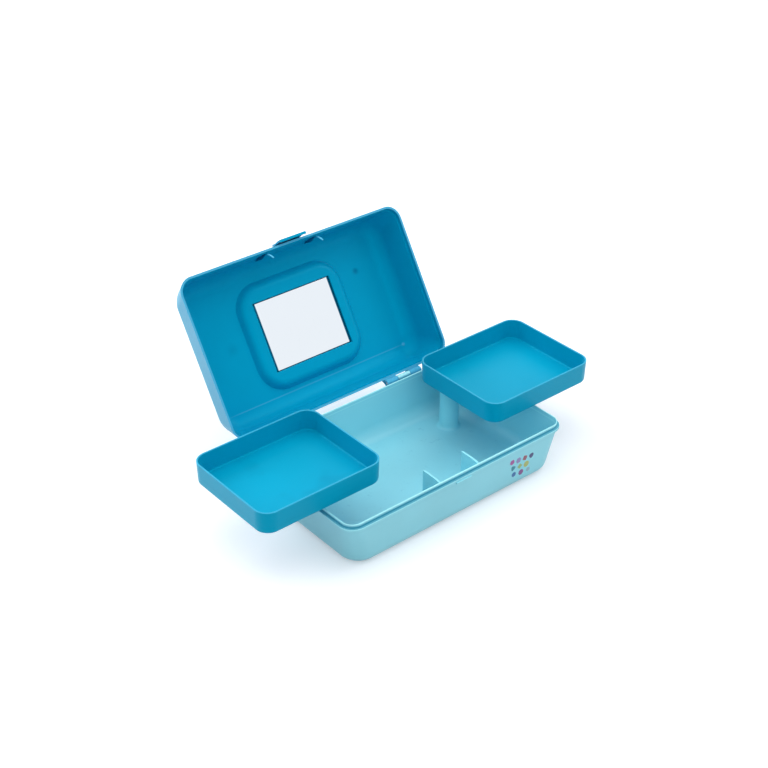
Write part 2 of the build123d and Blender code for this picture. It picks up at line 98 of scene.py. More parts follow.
class CaseColours(bpy.types.PropertyGroup):
    """Colours of the mouldings and fittings, as the surface itself is coloured."""

    lid: FloatVectorProperty(
        name="Lid", description="Plastic of the lid, latch and handle", subtype="COLOR",
        default=(0.0, 0.36, 0.59), min=0, max=1)
    tray: FloatVectorProperty(
        name="Trays", description="Plastic of the two trays", subtype="COLOR",
        default=(0.0, 0.37, 0.575), min=0, max=1)
    base: FloatVectorProperty(
        name="Base", description="Plastic of the base, posts and dividers", subtype="COLOR",
        default=(0.285, 0.765, 0.875), min=0, max=1)
    blue_gloss: FloatVectorProperty(
        name="Blue gloss", subtype="COLOR",
        description="Tint of the blue plastic's reflection where it faces the viewer",
        default=(0.0, 0.55, 0.85), min=0, max=1)
    washer: FloatVectorProperty(
        name="Washers", description="Nylon rings under the trays", subtype="COLOR",
        default=(0.72, 0.72, 0.68), min=0, max=1)
    steel: FloatVectorProperty(
        name="Pins", description="Drawn steel wire of the pins", subtype="COLOR",
        default=(0.56, 0.56, 0.58), min=0, max=1)
    silver: FloatVectorProperty(
        name="Mirror", description="Tint of the silvered glass", subtype="COLOR",
        default=(0.86, 0.9, 0.94), min=0, max=1)


class CaseSizes(bpy.types.PropertyGroup):
    """Sizes of the pieces that are made here."""

    glass_arris: FloatProperty(
        name="Mirror arris", description="Width of the mirror's ground edge", subtype="DISTANCE",
        default=0.0005, min=0.0001, max=0.0007)
    prong_out: FloatProperty(
        name="Prong reach", description="Lid's rim to the tip of a guide prong", subtype="DISTANCE",
        default=0.0065, min=0.0, max=0.008)
    prong_fin: FloatProperty(
        name="Prong fin", description="Width of the fin behind a prong", subtype="DISTANCE",
        default=0.0040, min=0.001, max=0.005)
    prong_spacing: FloatProperty(
        name="Prong spacing", description="Between the two prongs' middles", subtype="DISTANCE",
        default=0.0540, min=0.03, max=0.1)
    prong_thickness: FloatProperty(
        name="Prong thickness", description="Thickness of a prong", subtype="DISTANCE",
        default=0.0016, min=0.0008, max=0.003)
    motif: FloatProperty(
        name="Motif", description="Radius of one printed shape on the front", subtype="DISTANCE",
        default=0.0031, min=0.001, max=0.004)
    ink: FloatProperty(
        name="Ink", description="Thickness of the print", subtype="DISTANCE",
        default=0.00006, min=0.00002, max=0.0002)


class CaseStage(bpy.types.PropertyGroup):
    """The photographer's view and light."""

    azimuth: FloatProperty(
        name="Azimuth", description="Camera's turn from the case's front", subtype="ANGLE",
        default=radians(-39.93))
    elevation: FloatProperty(
        name="Elevation", description="Camera's height above the table", subtype="ANGLE",
        default=radians(32.33))
    roll: FloatProperty(
        name="Roll", description="Camera's tilt about its own axis", subtype="ANGLE",
        default=radians(0.19))
    distance: FloatProperty(
        name="Distance", description="Camera to the point it looks at", subtype="DISTANCE",
        default=1.1986, min=0.1)
    lens: FloatProperty(
        name="Lens", description="Focal length in mm on a 36 mm sensor", default=68.13, min=1)
    top: FloatProperty(
        name="Top light", description="Power of the overhead panel in watts", default=5.5, min=0)
    left: FloatProperty(
        name="Left light", description="Power of the panel on the left in watts", default=3.6, min=0)
    right: FloatProperty(
        name="Right light", description="Power of the panel on the right in watts", default=3.6, min=0)
    back: FloatProperty(
        name="Back light", description="Power of the panel behind the case in watts",
        default=19.0, min=0)
    front: FloatProperty(
        name="Front light", description="Power of the panel by the camera in watts",
        default=4.5, min=0)
    sky: FloatProperty(
        name="Overhead glow", description="Strength of the room's light from straight above",
        default=1.0, min=0)
    horizon: FloatProperty(
        name="Low glow", description="Strength of the room's light from the height of the table",
        default=0.3, min=0)


class Value:
    """A socket that adds, subtracts, multiplies and takes powers as a number does.

    Each step is one Math node.
    """

    def __init__(self, graph, socket):
        self.graph = graph
        self.socket = socket

    def step(self, operation, *values):
        return self.graph.node("Math", dict(enumerate(values)), operation=operation)

    def __add__(self, other):
        return self.step("ADD", self, other)

    def __sub__(self, other):
        return self.step("SUBTRACT", self, other)

    def __rsub__(self, other):
        return self.step("SUBTRACT", other, self)

    def __mul__(self, other):
        return self.step("MULTIPLY", self, other)

    def __pow__(self, other):
        return self.step("POWER", self, other)

    def __rpow__(self, other):
        return self.step("POWER", other, self)

    def __abs__(self):
        return self.step("ABSOLUTE", self)

    __radd__ = __add__
    __rmul__ = __mul__

    def larger(self, other):
        """The larger of this value and another."""
        return self.step("MAXIMUM", self, other)

    def smooth(self, low, high, start=0.0, end=1.0):
        """Eases from start to end while this value goes from low to high."""
        return self.graph.node("MapRange", {"Value": self, "From Min": low, "From Max": high,
                                            "To Min": start, "To Max": end},
                               interpolation_type="SMOOTHSTEP")


class Graph:
    """A tree of shader nodes."""

    def __init__(self, tree):
        self.tree = tree
        tree.nodes.clear()

    def node(self, kind, inputs=None, output=0, **settings):
        """Adds a node and gives one output: settings first, then the value or link of each input."""
        made = self.tree.nodes.new("ShaderNode" + kind)
        for name, value in settings.items():
            setattr(made, name, value)
        for name, value in (inputs or {}).items():
            if isinstance(value, Value):
                self.tree.links.new(value.socket, made.inputs[name])
            else:
                made.inputs[name].default_value = value
        if made.outputs:
            return Value(self, made.outputs[output])

    def place(self):
        """The point's own place on its piece, in metres."""
        return self.node("TexCoord", output="Object")

    def turned(self, centre, angle):
        """The point's place, turned about a line along X through centre: R(p - centre) + centre."""
        spin = Matrix.Rotation(angle, 3, "X")
        move = Vector(centre) - spin @ Vector(centre)
        return self.node("Mapping", {"Vector": self.place(), "Location": move,
                                     "Rotation": (angle, 0, 0)})

    def axes(self, where):
        """The three numbers of a place."""
        first = self.node("SeparateXYZ", {"Vector": where})
        return [Value(self, socket) for socket in first.socket.node.outputs]

    def noise(self, scale, detail=2.0, rough=0.5, where=None, stretch=(1, 1, 1)):
        """Soft noise from 0 to 1, with scale cells to a metre, which a stretch below 1 draws out."""
        where = where or self.place()
        if stretch != (1, 1, 1):
            where = self.node("Mapping", {"Vector": where, "Scale": stretch})
        return self.node("TexNoise", {"Vector": where, "Scale": scale, "Detail": detail,
                                      "Roughness": rough})

    def mix(self, amount, first, second):
        """Colour that turns from first to second as amount goes from 0 to 1."""
        return self.node("Mix", {0: amount, 6: first, 7: second}, output=2, data_type="RGBA")

    def bump(self, height, depth):
        """Normal that reads height, from 0 to 1, as a relief of that depth in metres."""
        return self.node("Bump", {"Height": height, "Strength": 1.0, "Distance": depth})

    def end(self, shader):
        """Ends the tree with its surface shader."""
        self.node("OutputMaterial", {"Surface": shader})


def material(name):
    """A new material and the graph of its nodes."""
    made = bpy.data.materials.new(name)
    made.use_nodes = True
    return made, Graph(made.node_tree)


def shade(colour, factor):
    """The colour made lighter or darker, with its alpha."""
    return tuple(min(1.0, c * factor) for c in colour) + (1.0,)


def deep(colour):
    """The colour as it looks after two more bounces between walls of the same plastic."""
    return tuple(0.7 * c ** 3 for c in colour) + (1.0,)


def paler(colour, share):
    """The colour moved towards white by a share, with its alpha."""
    return tuple(c + (1.0 - c) * share for c in colour) + (1.0,)


def moulded_plastic(name, colour, rough, gloss_tint, rim_highlight=None, marks_and_shade=None, level=0.5):
    """Satin injection-moulded plastic.

    The mould's fine eroded texture is a relief of two noises, 0.35 mm and 1.4 mm wide and some
    hundredths of a millimetre deep. Flow clouds change the colour by a few percent, and rubbed streaks
    change the gloss. The rim function gives, from the graph, where a painted highlight lightens the
    colour along rims. The marks function gives the darkness and relief of small marks, and on some
    pieces painted shade. level is the strength of the reflection that faces the viewer.
    """
    made, g = material(name)
    where = g.place()
    clouds = g.noise(14.0, 3.0, where=where)
    fine = g.noise(2800.0, 2.0, where=where)
    coarse = g.noise(700.0, 2.0, where=where)
    rubs = g.noise(220.0, 4.0, 0.6, where=where, stretch=(0.06, 1.0, 1.0)).smooth(0.62, 0.78)
    body = g.mix(clouds.smooth(0.3, 0.7), shade(colour, 0.965), shade(colour, 1.035))
    body = g.mix(fine * 0.12, body, shade(colour, 0.8))
    relief = fine * 0.6 + coarse * 0.4
    if rim_highlight:
        # Painted highlight: the colour is lightened along the rims.
        body = g.mix(rim_highlight(g), body, paler(shade(colour, 1.25)[:3], 0.12))
    if marks_and_shade:
        # Marks darken the colour, and on some pieces this darkness is painted shade.
        dark, height = marks_and_shade(g)
        body = g.mix(dark, body, deep(colour))
        relief = relief + height
    patches = g.noise(45.0, 3.0, where=where)
    gloss = rough + (patches - 0.5) * 0.07 + (coarse - 0.5) * 0.06 - rubs * 0.05
    g.end(g.node("BsdfPrincipled", {
        "Base Color": body, "Roughness": gloss, "IOR": PLASTIC_IOR, "Specular IOR Level": level,
        "Specular Tint": gloss_tint, "Normal": g.bump(relief, SATIN_DEPTH)}))
    return made


def lid_axes(g):
    """The lid's own axes: the point's place with the lid shut."""
    return g.axes(g.turned(HINGE, LID_OPEN))


def spot(x, y, centre, radius):
    """A soft round spot in plan, 1 at its middle and 0 at its radius."""
    away = ((x - centre[0]) ** 2.0 + (y - centre[1]) ** 2.0) ** 0.5
    return away.smooth(0.0, radius, 1.0, 0.0)


def inside_lid(height):
    """1 below the inner face of the lid's panel and 0 above it, with the lid shut."""
    return height.smooth(PANEL + 0.0003, PANEL + 0.0009, 1.0, 0.0)


def lid_painted_highlights(g):
    """Painted highlights along the lid's rim, in a line where its panel meets the hinge wall, and
    on the ejector's mark.
    """
    x, y, height = lid_axes(g)
    # Painted highlight along the rim.
    rim = height.smooth(LID_RIM + 0.0001, LID_RIM + 0.0011, 0.75, 0.0)
    ends = abs(x).smooth(0.085, 0.105, 1.0, 0.0)
    # Painted highlight line where the panel meets the hinge wall.
    crease = abs(y - EJECTOR_AND_HIGHLIGHT[1]).smooth(0.0001, 0.0010, 0.3, 0.0) * ends
    # Painted highlight spot on the ejector's mark.
    return rim + inside_lid(height) * (crease + spot(x, y, EJECTOR_AND_HIGHLIGHT, 0.0026) * 0.6)


def lid_marks_and_shade(g):
    """Sink mark of the gate on the panel with painted shade in it, relief of the ejector's mark, and a
    smudge on the left.
    """
    x, y, height = lid_axes(g)
    gate = spot(x, y, GATE, 0.0048)
    nub = spot(x, y, EJECTOR_AND_HIGHLIGHT, 0.0022)
    smudge = spot(x, y, SMUDGE, 0.0085)
    inside = inside_lid(height)
    # The gate's sink mark is sunk and also darkened with painted shade.
    return (gate * 0.5 + smudge * 0.12) * inside, (nub * 9.0 - gate * 7.0) * inside


def prong_painted_shade(g):
    """Painted shade on the fins behind the prongs, darker towards the wall they stand in."""
    height = lid_axes(g)[2]
    return height.smooth(LID_RIM + 0.0005, LID_RIM + 0.0045, 0.0, 0.75), 0.0


def tray_painted_highlight(g):
    """Painted highlight along the trays' rims."""
    height = g.axes(g.place())[2]
    return height.smooth(TRAY_TOP - 0.0009, TRAY_TOP - 0.0001, 0.0, 0.4)


def tray_marks(g):
    """Faint level lines that the mould's polish leaves on the trays' outer walls."""
    height = g.axes(g.place())[2]
    lines = g.noise(1500.0, 2.0, where=g.place(), stretch=(0.02, 0.02, 1.0))
    return lines.smooth(0.55, 0.75) * height.smooth(0.06, 0.07, 0.12, 0.0), lines * 0.8


def rim_reach(x, y):
    """Distance in plan from the rectangle that joins the middles of the lip's rounded corners."""
    across = (abs(x) - (LIP_HALF_LENGTH - LIP_CORNER)).larger(0.0)
    along = (abs(y) - (LIP_HALF_WIDTH - LIP_CORNER)).larger(0.0)
    return (across ** 2.0 + along ** 2.0) ** 0.5


def base_painted_highlights(g):
    """Painted highlights along the base's rim and the top of its lip."""
    height = g.axes(g.place())[2]
    lip = height.smooth(LIP_TOP - 0.0007, LIP_TOP - 0.0001, 0.0, 0.8)
    below = height.smooth(BASE_RIM - 0.0006, BASE_RIM - 0.0002, 0.0, 0.6)
    above = height.smooth(BASE_RIM + 0.0001, BASE_RIM + 0.0005, 1.0, 0.0)
    return lip + below * above


def base_scuffs_and_shade(g):
    """Fine scuffs low on the base, where it slides on a table, and painted shade in the step outside
    its lip.
    """
    x, y, height = g.axes(g.place())
    # Painted shade in the step outside the lip.
    outside = rim_reach(x, y).smooth(LIP_CORNER - 0.0010, LIP_CORNER - 0.0006)
    above = height.smooth(BASE_RIM - 0.0002, BASE_RIM + 0.0001)
    groove_shade = outside * above * height.smooth(BASE_RIM + 0.0008, BASE_RIM + 0.0028, 1.0, 0.0)
    scuffs = g.noise(900.0, 4.0, 0.7, stretch=(0.15, 0.15, 1.0)).smooth(0.58, 0.75)
    scuffs = scuffs * height.smooth(0.001, 0.006, 1.0, 0.0)
    return scuffs * 0.25 + groove_shade, scuffs


def drawn_steel(name, colour):
    """Steel wire with fine rings and lines from drawing and cutting."""
    made, g = material(name)
    lines = g.noise(1800.0, 3.0, stretch=(0.05, 1.0, 1.0))
    spots = g.noise(420.0, 2.0).smooth(0.55, 0.75)
    body = g.mix(lines, shade(colour, 0.82), shade(colour, 1.1))
    g.end(g.node("BsdfPrincipled", {
        "Base Color": g.mix(spots * 0.3, body, shade(colour, 0.6)), "Metallic": 1.0,
        "Roughness": 0.24 + lines * 0.16 + spots * 0.08, "Normal": g.bump(lines, 0.00001)}))
    return made


def silvered_glass(name, colour, low, high):
    """Silvered plate with a faint haze, and a dark blue band of painted shade from its pocket inside
    the plate's edge, up to 2.2 mm wide at its two short edges and 0.5 mm at its long ones.
    """
    made, g = material(name)
    haze = g.noise(26.0, 4.0)
    from_side, from_end = [
        (high[axis] - low[axis]) / 2 - abs(place - (high[axis] + low[axis]) / 2)
        for axis, place in enumerate(lid_axes(g)[:2])]
    # Painted shade of the pocket's walls along the plate's edges.
    side = from_side.smooth(0.0017, 0.0022, 1.0, 0.0)
    rim = side.larger(from_end.smooth(0.0002, 0.0005, 1.0, 0.0))
    body = g.mix(haze, shade(colour, 0.985), shade(colour, 1.01))
    g.end(g.node("BsdfPrincipled", {
        "Base Color": g.mix(rim, body, POCKET_SHADE_BLUE), "Metallic": 1.0,
        "Roughness": 0.02 + haze.smooth(0.5, 0.8) * 0.03}))
    return made


def foam_tape(name):
    """Closed-cell foam: pores as a cell pattern with soft walls between them."""
    made, g = material(name)
    cells = g.node("TexVoronoi", {"Vector": g.place(), "Scale": 1600.0})
    pores = cells.smooth(0.1, 0.55)
    g.end(g.node("BsdfPrincipled", {
        "Base Color": g.mix(pores, (0.45, 0.45, 0.43, 1), (0.8, 0.8, 0.78, 1)),
        "Roughness": 0.85, "Normal": g.bump(pores, 0.0002)}))
    return made


def printed_ink(name):
    """Pad-printed ink: each shape's own colour from its attribute, a little thin in places."""
    made, g = material(name)
    ink = g.node("VertexColor", layer_name="ink")
    thin = g.noise(1900.0, 3.0).smooth(0.55, 0.8)
    g.end(g.node("BsdfPrincipled", {
        "Base Color": g.mix(thin * 0.35, ink, (0.3, 0.62, 0.7, 1)), "Roughness": 0.38 + thin * 0.2,
        "Normal": g.bump(thin, 0.00001)}))
    return made


def dress(names, finish):
    """Gives the named nodes one material."""
    for name in names:
        slots = NODES[name].data.materials
        slots.clear()
        slots.append(finish)


def opened(points):
    """Points of the closed lid, turned by the opening angle about the hinge to the open lid."""
    c, s = cos(-LID_OPEN), sin(-LID_OPEN)
    y, z = points[..., 1] - HINGE[1], points[..., 2] - HINGE[2]
    return np.stack([points[..., 0], HINGE[1] + y * c - z * s, HINGE[2] + y * s + z * c], axis=-1)


def closed_box(name):
    """Lowest and highest corner of one of the lid's nodes, with the lid shut."""
    mesh = NODES[name].data
    flat = np.empty(len(mesh.vertices) * 3)
    mesh.vertices.foreach_get("co", flat)
    y, z = flat[1::3] - HINGE[1], flat[2::3] - HINGE[2]
    c, s = cos(LID_OPEN), sin(LID_OPEN)
    points = np.stack([flat[0::3], HINGE[1] + y * c - z * s, HINGE[2] + y * s + z * c], axis=1)
    return points.min(axis=0), points.max(axis=0)


def skin(name, solids, body, finish, crease=30.0, colours=None):
    """One piece from closed surfaces, each a grid of rings whose first and last close on their middles.

    Point (i, j) of a grid is joined to (i + 1, j) and to (i, j + 1), with j counted round the ring. A
    surface whose signed volume, the sum of a . (b x c) / 6 over its triangles, is negative is turned.
    """
    points, faces, tints, start = [], [], [], 0
    for number, rows in enumerate(solids):
        count, around = rows.shape[:2]
        ends = rows[[0, -1]].mean(axis=1)
        i = np.arange(count - 1)[:, None] * around
        j = np.arange(around)
        k = (j + 1) % around
        a, b, c, d = i + j, i + k, i + around + k, i + around + j
        last = (count - 1) * around
        tail = np.full(around, count * around)
        triangles = np.concatenate([
            np.stack([a, b, c], axis=-1).reshape(-1, 3), np.stack([a, c, d], axis=-1).reshape(-1, 3),
            np.stack([k, j, tail], axis=-1), np.stack([last + j, last + k, tail + 1], axis=-1)])
        all_points = np.concatenate([rows.reshape(-1, 3), ends])
        p, q, r = (all_points[triangles[:, n]] - ends[0] for n in range(3))
        if np.einsum("ij,ij->i", p, np.cross(q, r)).sum() < 0:
            triangles = triangles[:, ::-1]
        points.append(all_points)
        faces.append(triangles + start)
        start += len(all_points)
        if colours:
            tints.append(np.tile(colours[number] + (1.0,), (len(all_points), 1)))
    mesh = bpy.data.meshes.new(name)
    mesh.from_pydata(np.concatenate(points), [], np.concatenate(faces).tolist())
    if colours:
        layer = mesh.color_attributes.new("ink", "FLOAT_COLOR", "POINT")
        layer.data.foreach_set("color", np.concatenate(tints).astype(np.float32).ravel())
    mesh.polygons.foreach_set("use_smooth", np.ones(len(mesh.polygons), dtype=bool))
    mesh.set_sharp_from_angle(angle=radians(crease))
    mesh.materials.append(finish)
    piece = bpy.data.objects.new(name, mesh)
    bpy.context.scene.collection.objects.link(piece)
    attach(piece, body)
    return piece


def rounded_rings(length, width, corner, height, steps=8):
    """Rows of rounded rectangles, one for each entry of the four lists.

    On each quarter turn t the point is (sx (length / 2 - corner) + corner cos t,
    sy (width / 2 - corner) + corner sin t, height), with sx and sy the quarter's signs.
    """
    length, width, corner, height = (
        np.array(values, float)[:, None] for values in (length, width, corner, height))
    turn = (np.arange(4)[:, None] * pi / 2 + np.linspace(0, pi / 2, steps)).ravel()
    x = np.repeat([1, -1, -1, 1], steps) * (length / 2 - corner) + corner * np.cos(turn)
    y = np.repeat([1, 1, -1, -1], steps) * (width / 2 - corner) + corner * np.sin(turn)
    return np.stack([x, y, height + 0 * x], axis=-1)


def mirror_plate(sizes):
    """Mirror plate in the closed lid: rounded rectangles, drawn in by a quarter circle at both faces.

    At angle t of the arris the ring has drawn in by arris (1 - cos t) and stands arris (1 - sin t) from
    the face.
    """
    low, high = closed_box("mirror_glass")
    arris = sizes.glass_arris
    t = np.linspace(pi / 2, 0, 5)
    inset = arris * np.concatenate([1 - np.cos(t), 1 - np.cos(t[::-1])])
    height = np.concatenate([low[2] + arris * (1 - np.sin(t)), high[2] - arris * (1 - np.sin(t[::-1]))])
    rows = rounded_rings(high[0] - low[0] - 2 * inset, high[1] - low[1] - 2 * inset,
                         MIRROR_CORNER - inset, height)
    rows[..., :2] += (low[:2] + high[:2]) / 2
    return opened(rows)


def turned_pin(name, along, dome):
    """Pin as long and thick as its node, turned about its axis.

    The radius at distance u from an end is r (1 - (1 - u / dome)^2)^(1/2) within the dome and r past it,
    and point j of a ring stands at the angle 2 pi j / PIN_SIDES.
    """
    low, high = (np.array(corner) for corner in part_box(name))
    across = [axis for axis in range(3) if axis != along]
    middle = (low + high) / 2
    radius = (high - low)[across].min() / 2
    share = np.linspace(0.02, 1, 7)
    ends = dome * share
    place = np.concatenate([low[along] + ends, high[along] - ends[::-1]])
    swell = radius * np.sqrt(1 - (1 - share) ** 2)
    swell = np.concatenate([swell, swell[::-1]])[:, None]
    angle = np.arange(PIN_SIDES) * 2 * pi / PIN_SIDES
    rows = np.empty((len(place), PIN_SIDES, 3))
    rows[..., along] = place[:, None]
    rows[..., across[0]] = middle[across[0]] + swell * np.cos(angle)
    rows[..., across[1]] = middle[across[1]] + swell * np.sin(angle)
    return rows


def lid_prong(sizes, side):
    """Guide prong inside the lid's front wall, as a flattened tube along a cubic Bezier curve.

    The curve runs from the wall's deep end, along the wall, and out past the rim to the prong's tip:
    p(t) = (1 - t)^3 a + 3 (1 - t)^2 t b + 3 (1 - t) t^2 c + t^3 d, with a to d the rows of bend: the
    place along the case's width and the height above the rim, both with the lid shut. The section at t
    is a superellipse of power 3. Its half width swells as sin^2 (pi t / fin_end) to a fin, and both ends
    close over a quarter round as long as end_share of the curve.
    """
    bend = np.array([(-0.0667, 0.0250), (-0.0696, 0.0120), (-0.0722, 0.0010),
                     (-0.0640, -sizes.prong_out)])
    fin_end, end_share, tip_share, stem = 0.62, 0.03, 0.08, 0.0005
    t = np.concatenate([[0.0], np.linspace(0.004, 0.996, 40), [1.0]])[:, None]
    weight = np.concatenate([(1 - t) ** 3, 3 * (1 - t) ** 2 * t, 3 * (1 - t) * t ** 2, t ** 3],
                            axis=1)
    centre = weight @ bend
    along = np.gradient(centre, axis=0)
    along /= np.linalg.norm(along, axis=1, keepdims=True)
    across = np.stack([-along[:, 1], along[:, 0]], axis=1)
    from_end = np.minimum(np.minimum(t, 1 - t) / end_share, 1.0)
    closing = np.maximum(np.sqrt(1 - (1 - from_end) ** 2), tip_share)
    fin = np.sin(np.minimum(t / fin_end, 1.0) * pi) ** 2
    half = (stem + sizes.prong_fin / 2 * fin) * closing
    thick = sizes.prong_thickness / 2 * closing
    angle = np.arange(24) * 2 * pi / 24
    round_c, round_s = (
        np.sign(wave) * np.abs(wave) ** (2 / 3) for wave in (np.cos(angle), np.sin(angle)))
    flat = centre[:, None] + across[:, None] * (half * round_c)[..., None]
    x = side * sizes.prong_spacing / 2 + thick * round_s
    return opened(np.stack([x, flat[..., 0], LID_RIM + flat[..., 1]], axis=-1))


def motif(centre, size, thickness, lobes, sharp, pinch, turn):
    """One printed shape on the base's front wall, a thin closed patch.

    Its edge is the superformula r = (|cos(m t / 4)|^p + |sin(m t / 4)|^p)^(-1 / n), with m the lobes,
    p the pinch and n the sharpness, scaled so that its furthest point is size away. The three rings are
    the patch's back, its face's edge and its face, and they follow the wall, which leans in below the
    rim.
    """
    t = np.arange(72) * 2 * pi / 72
    wave = np.abs(np.cos(lobes * t / 4)) ** pinch + np.abs(np.sin(lobes * t / 4)) ** pinch
    edge = wave ** (-1 / sharp)
    edge = size * edge / edge.max()
    across = edge * np.cos(t + turn)
    up = edge * np.sin(t + turn)
    scale = np.array([1.0, 1.0, 0.97])[:, None]
    lift = np.array([-0.3, 0.85, 1.0])[:, None] * thickness
    x = centre[0] + across * scale
    z = centre[1] + up * scale
    y = -(FRONT_WALL - (BASE_RIM - z) * tan(WALL_LEAN)) - lift
    return np.stack([x, y, z], axis=-1)


class MAKEUPCASE_OT_base(bpy.types.Operator):
    """Finish the base, its posts and its dividers"""
    bl_idname = "makeupcase.base"
    bl_label = "Base"

    def execute(self, context):
        colours = context.scene.case_colours
        # Painted highlights on the base's rim and lip; painted shade in the step outside the lip.
        dress(["base_shell"], moulded_plastic(
            "base_plastic", colours.base, 0.4, PALE_GLOSS, base_painted_highlights, base_scuffs_and_shade, 0.9))
        plain = moulded_plastic("base_inner_plastic", colours.base, 0.42, PALE_GLOSS, level=0.7)
        dress(["left_post", "right_post", "left_divider", "right_divider"], plain)
        return {"FINISHED"}


class MAKEUPCASE_OT_print(bpy.types.Operator):
    """Print a loose group of small plain shapes on the base's front"""
    bl_idname = "makeupcase.print"
    bl_label = "Print"

    def execute(self, context):
        sizes = context.scene.case_sizes
        inks = [(0.42, 0.09, 0.34), (0.03, 0.27, 0.34), (0.3, 0.27, 0.55), (0.36, 0.52, 0.2),
                (0.04, 0.17, 0.42), (0.34, 0.1, 0.14), (0.5, 0.55, 0.16), (0.25, 0.08, 0.27),
                (0.06, 0.07, 0.2), (0.3, 0.5, 0.6)]
        # Place along the front and up it in mm, share of the full size, lobes, sharpness, pinch, turn
        shapes = [(58.6, 30.3, 0.86, 5, 3.2, 3.0, 0.3), (60.4, 23.2, 0.92, 3, 5.0, 6.5, 1.2),
                  (66.2, 29.2, 1.0, 6, 1.6, 1.3, 0.1), (68.4, 22.0, 0.9, 4, 9.0, 9.0, 0.8),
                  (61.9, 15.9, 0.84, 8, 5.0, 4.0, 0.2), (73.9, 28.4, 0.96, 4, 1.1, 1.2, 0.4),
                  (76.3, 20.8, 1.0, 2, 2.0, 2.0, 0.9), (70.5, 14.6, 0.94, 7, 3.0, 2.5, 0.1),
                  (81.7, 27.6, 0.9, 3, 1.5, 1.4, 0.6), (79.2, 13.8, 0.8, 5, 1.4, 1.2, 0.8)]
        solids = [motif((x / 1000, z / 1000), sizes.motif * share, sizes.ink, lobes, sharp, pinch, turn)
                  for x, z, share, lobes, sharp, pinch, turn in shapes]
        skin("front_print", solids, "base", printed_ink("print_ink"), colours=inks)
        return {"FINISHED"}


class MAKEUPCASE_OT_lid(bpy.types.Operator):
    """Finish the lid, its latch and its handle, and add the two guide prongs in its front wall"""
    bl_idname = "makeupcase.lid"
    bl_label = "Lid"

    def execute(self, context):
        colours, sizes = context.scene.case_colours, context.scene.case_sizes
        tint = tuple(colours.blue_gloss) + (1.0,)
        # Painted highlights on the lid's rim, panel line and ejector's mark; painted shade in the gate's
        # sink mark.
        dress(["lid_shell"], moulded_plastic(
            "lid_plastic", colours.lid, 0.35, tint, lid_painted_highlights, lid_marks_and_shade))
        dress(["latch", "carry_handle"], moulded_plastic(
            "lid_fitting_plastic", colours.lid, 0.35, tint))
        # The prongs get the lid's painted highlights, and painted shade on their fins.
        skin("lid_prongs", [lid_prong(sizes, side) for side in (1, -1)], "lid",
             moulded_plastic("prong_plastic", colours.lid, 0.35, tint, lid_painted_highlights, prong_painted_shade))
        return {"FINISHED"}


class MAKEUPCASE_OT_trays(bpy.types.Operator):
    """Finish the two trays"""
    bl_idname = "makeupcase.trays"
    bl_label = "Trays"

    def execute(self, context):
        colours = context.scene.case_colours
        tint = tuple(colours.blue_gloss) + (1.0,)
        # Painted highlight along the trays' rims.
        dress(["left_tray", "right_tray"],
              moulded_plastic("tray_plastic", colours.tray, 0.36, tint, tray_painted_highlight, tray_marks, 0.35))
        return {"FINISHED"}


class MAKEUPCASE_OT_mirror(bpy.types.Operator):
    """Make the mirror with its ground edge, and finish its foam"""
    bl_idname = "makeupcase.mirror"
    bl_label = "Mirror"

    def execute(self, context):
        colours, sizes = context.scene.case_colours, context.scene.case_sizes
        low, high = closed_box("mirror_glass")
        finish = silvered_glass("mirror_silver", colours.silver, low, high)
        plate = skin("mirror_plate", [mirror_plate(sizes)], "lid", finish)
        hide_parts("mirror_glass")
        dress(["mirror_foam"], foam_tape("foam_tape"))
        return {"FINISHED"}


class MAKEUPCASE_OT_fittings(bpy.types.Operator):
    """Turn the steel pins and finish the washers"""
    bl_idname = "makeupcase.fittings"
    bl_label = "Pins and washers"

    def execute(self, context):
        colours = context.scene.case_colours
        steel = drawn_steel("pin_steel", colours.steel)
        pins = {"left_hinge_pin": ("base", 0, 0.0006), "right_hinge_pin": ("base", 0, 0.0006),
                "latch_pin": ("lid", 0, 0.0003), "left_handle_pin": ("lid", 0, 0.0005),
                "right_handle_pin": ("lid", 0, 0.0005), "left_tray_pin": ("left_tray_body", 2, 0.0008),
                "right_tray_pin": ("right_tray_body", 2, 0.0008)}
        for name, (body, along, dome) in pins.items():
            rows = turned_pin(name, along, dome)
            piece = skin(name + "_turned", [rows], body, steel)
            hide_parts(name)
        dress(["left_post_washer", "right_post_washer"],
              moulded_plastic("washer_nylon", colours.washer, 0.5, WHITE))
        return {"FINISHED"}


def camera_place(stage, target):
    """Camera's place on a sphere round the target, from the azimuth and elevation."""
    flat = cos(stage.elevation) * stage.distance
    return target + Vector((flat * sin(stage.azimuth), -flat * cos(stage.azimuth),
                            sin(stage.elevation) * stage.distance))


def aimed(place, target, roll=0.0):
    """World matrix of a camera or lamp at place that looks at target."""
    turn = (target - place).to_track_quat("-Z", "Y").to_matrix().to_4x4()
    return Matrix.Translation(place) @ turn @ Matrix.Rotation(roll, 4, "Z")


def panel_light(name, place, target, width, height, power):
    """Rectangular soft panel of white light."""
    data = bpy.data.lights.new(name, "AREA")
    data.shape = "RECTANGLE"
    data.size = width
    data.size_y = height
    data.energy = power
    lamp = bpy.data.objects.new(name, data)
    lamp.matrix_world = aimed(Vector(place), Vector(target))
    lamp.visible_camera = False
    bpy.context.scene.collection.objects.link(lamp)


def seen_rays(g):
    """1 for rays from the camera, in a reflection or through glass, and 0 for scattered light."""
    seen = g.node("LightPath", output="Is Camera Ray")
    rays = seen.socket.node.outputs
    glossy, through = (Value(g, rays[name]) for name in ("Is Glossy Ray", "Is Transmission Ray"))
    return seen.larger(glossy).larger(through)


